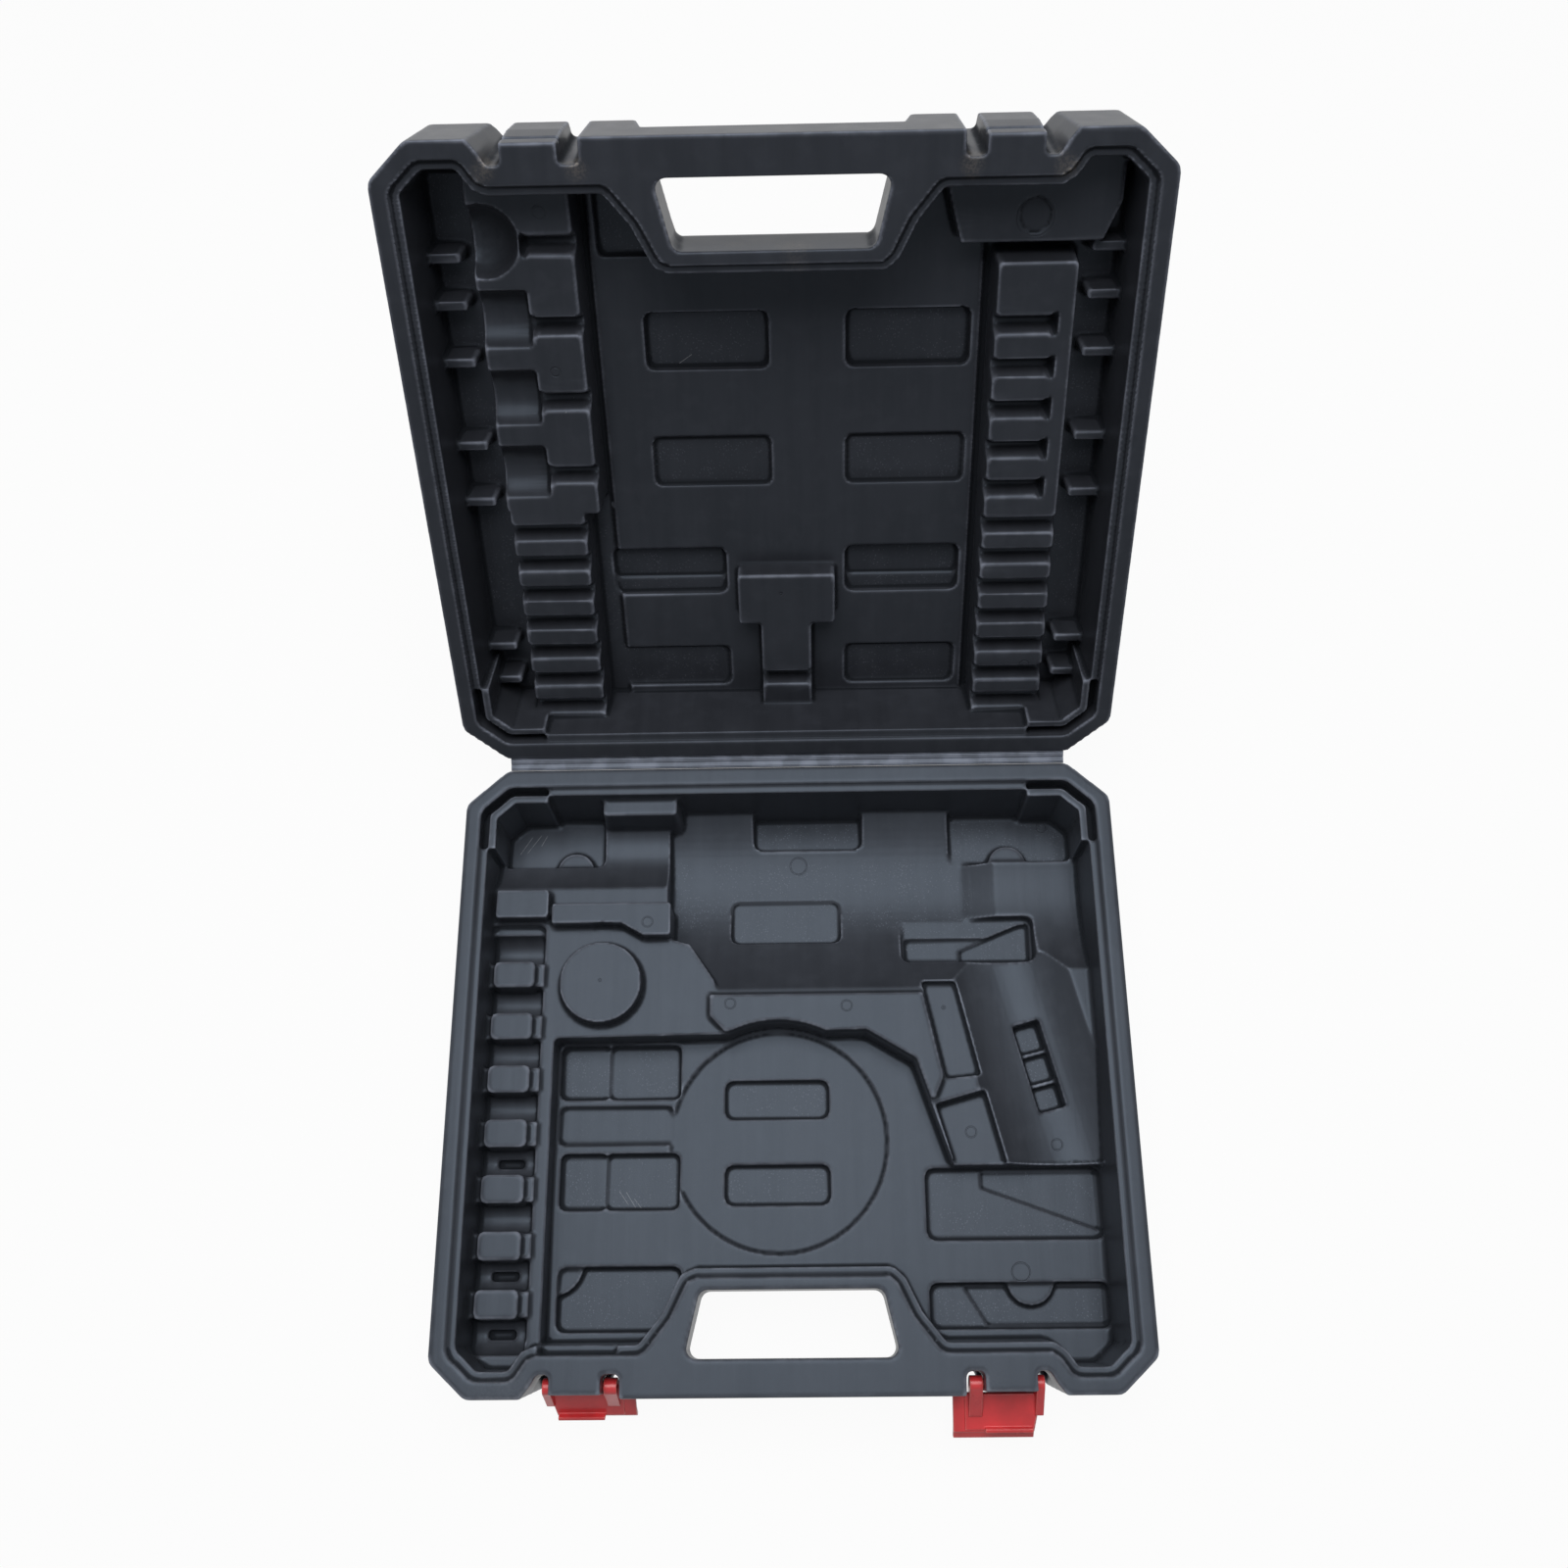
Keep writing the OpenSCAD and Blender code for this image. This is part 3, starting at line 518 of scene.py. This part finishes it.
# The solved turn takes the row's axes to image axes: x right, y down, z ahead
turn = Matrix.Identity(3)
for degrees, axis in zip(CAMERA_TURN, "XYZ"):
    turn = turn @ Matrix.Rotation(math.radians(degrees), 3, axis)
placed = (turn.transposed() @ Matrix.Diagonal((1, -1, -1))).to_4x4()
placed.translation = CAMERA_AT
camera_object.matrix_world = placed
bpy.context.scene.camera = camera_object

# ---------- Marks on the two halves ----------
base_marks = Marks(
    rings=[Ring(-82.7, 93.4, 3), Ring(-34.3, 141, 3), Ring(33.1, 143, 3), Ring(102.3, 214, 3),
           Ring(151.5, 220.8, 3), Ring(127, 289.5, 5), Ring(156.5, 27.7, 3),
           Ring(-109.5, 127.9, 0.6), Ring(89.9, 142.5, 0.8), Ring(6.1, 50.9, 5)],
    rubs=[Rub(-150, 352, 3, 26, 0.35), Rub(100, 352, 3, 24, 0.25),
          Rub(-24, 94, 50, 18, 0.12), Rub(140, 258, 47, 22, 0.12)],
    rub_colour=(0.26, 0.27, 0.30, 1),
    scratches=[Scratch(-162, 36, -1.0, 14), Scratch(-157, 35, -0.95, 15),
               Scratch(-151, 33, -1.1, 8), Scratch(-96, 247, 0.95, 10),
               Scratch(-92, 248, 1.0, 11), Scratch(-88, 250, 0.9, 7)])
lid_marks = Marks(
    rings=[Ring(-114.2, 313.5, 3.2), Ring(-114.8, 233.7, 2.4), Ring(-1.4, 95.6, 0.8),
           Ring(140.1, 52.2, 2.6), Ring(127.9, 304.8, 9)],
    rubs=[Rub(-134.9, 338, 5, 9, 1.0), Rub(-91.1, 337.5, 5, 9, 1.0),
          Rub(92.6, 336.4, 5, 9, 1.0), Rub(136.1, 335.6, 5, 9, 1.0),
          Rub(10, 296, 8, 12, 0.5), Rub(-20, 296, 12, 8, 0.3)],
    rub_colour=(0.46, 0.40, 0.33, 1),
    scratches=[Scratch(-49.7, 227.9, 0.6, 9), Scratch(-110, 214, 0.9, 7)])

tints = {entry["slot"]: entry["base_color"] for entry in frame["record"]["materials"]}
base_plastic = moulded_plastic("moulded plastic base", tints["base_plastic"],
                               sheen=0.28, highlight_gain=4.0, half=base_half, marks=base_marks)
# The lid's slot colour is darker than the base's, though both halves are one plastic: painted shade for the lid's
# steep faces, which get less light; its larger gain paints its edge highlights brighter
lid_plastic = moulded_plastic("moulded plastic lid", tints["lid_plastic"],
                              sheen=0.17, highlight_gain=5.4, half=lid_half, marks=lid_marks)
red_plastic = latch_plastic("red latch plastic", tints["latch_plastic"])

# ---------- The low step between the tool hollow and the accessory floor ----------
STEP_TOP = 23.8
STEP_FOOT = 28.0
# The step follows the round place on the floor, at this radius round its middle
ROUND_X = -7
ROUND_ALONG = 214
ROUND_R = 63.2

round_side = [(ROUND_X + ROUND_R * math.cos(math.radians(angle)),
               ROUND_ALONG - ROUND_R * math.sin(math.radians(angle)))
              for angle in range(64, 118, 3)]
step_outline = [(-46.5, 135.4), (77.3, 135.4), (87.4, 184.0), (82.0, 196.5), (79.4, 196.0),
                (72.1, 173.6), (44.2, 156.8)] + round_side + [(-37.5, 157.4), (-46.5, 147.5)]

# ---------- The case ----------
voxel = SKIN_VOXEL
for half, plastic, slot, steps in (
        (base_half, base_plastic, "base_plastic", [(step_outline, STEP_TOP, STEP_FOOT)]),
        (lid_half, lid_plastic, "lid_plastic", [])):
    nodes = [half.body + "_outer_shell", half.body + "_inner_tray"]
    skin = soft_edged(nodes, half.body + "_moulding", voxel, SKIN_ROUNDS, SKIN_TRIANGLES,
                      half, steps)
    skin.data.materials.append(plastic)
    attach(skin, half.body)
    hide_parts(*nodes)

for side in ("left", "right"):
    node = "latch_" + side
    latch = soft_edged([node], node + "_clip", LATCH_VOXEL, LATCH_ROUNDS, LATCH_TRIANGLES)
    latch.data.materials.append(red_plastic)
    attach(latch, node)
    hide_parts(node)

# Shares of the arc at which two points on it are taken
BEND_FROM = 0.12
BEND_TO = 0.88

arc = HingeArc()
strip = hinge_strip("living_hinge", arc)
strip.data.materials.append(base_plastic)
arc_start = arc.point(BEND_FROM) * MM
arc_end = arc.point(BEND_TO) * MM
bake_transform(strip)
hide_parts("hinge_web")

# ---------- Floor, background and light ----------
FLOOR_SIZE = 8.0
FLOOR_DROP = 0.0003
FLOOR_COLOUR = (0.7, 0.7, 0.7, 1)
FLOOR_WHITENESS = 0.95
SKY_COLOUR = (0.92, 0.95, 1.0, 1)
SKY_STRENGTH = 0.06
WHITE = (1, 1, 1, 1)


def soft_lamp(name, at, aim, size, power):
    lamp = bpy.data.lights.new(name, "AREA")
    lamp.size = size
    lamp.energy = power
    holder = object_of(lamp, name)
    holder.location = at
    holder.rotation_euler = (Vector(aim) - Vector(at)).to_track_quat("-Z", "Y").to_euler()


floor_mesh = bpy.data.meshes.new("floor")
reach = FLOOR_SIZE / 2
corners = [(-reach, -reach), (reach, -reach), (reach, reach), (-reach, reach)]
floor_mesh.from_pydata([(x, y, -FLOOR_DROP) for x, y in corners], [], [(0, 1, 2, 3)])
floor = object_of(floor_mesh, "floor")
pale = Finish("pale floor")
lit = pale.node("ShaderNodeBsdfDiffuse", None, {"Color": FLOOR_COLOUR})
bare = pale.node("ShaderNodeEmission", None, {"Color": WHITE, "Strength": 1.0})
floor_mesh.materials.append(pale.covered(pale.node("ShaderNodeMixShader", None, {
    0: pale.seen_directly() * FLOOR_WHITENESS, 1: lit.outputs[0], 2: bare.outputs[0]})))

world = bpy.data.worlds.new("studio")
bpy.context.scene.world = world
world.use_nodes = True
sky = Graph(world.node_tree)
lit = sky.node("ShaderNodeBackground", None, {"Color": SKY_COLOUR, "Strength": SKY_STRENGTH})
bare = sky.node("ShaderNodeBackground", None, {"Color": WHITE, "Strength": 1.0})
shown = sky.node("ShaderNodeMixShader", None, {
    0: sky.seen_directly(), 1: lit.outputs[0], 2: bare.outputs[0]})
sky.node("ShaderNodeOutputWorld", None, {"Surface": shown.outputs[0]})

soft_lamp("overhead", at=(-0.05, 0.32, 1.75), aim=(0, 0.05, 0.05), size=1.3, power=25)

bpy.context.scene.view_settings.view_transform = "Standard"
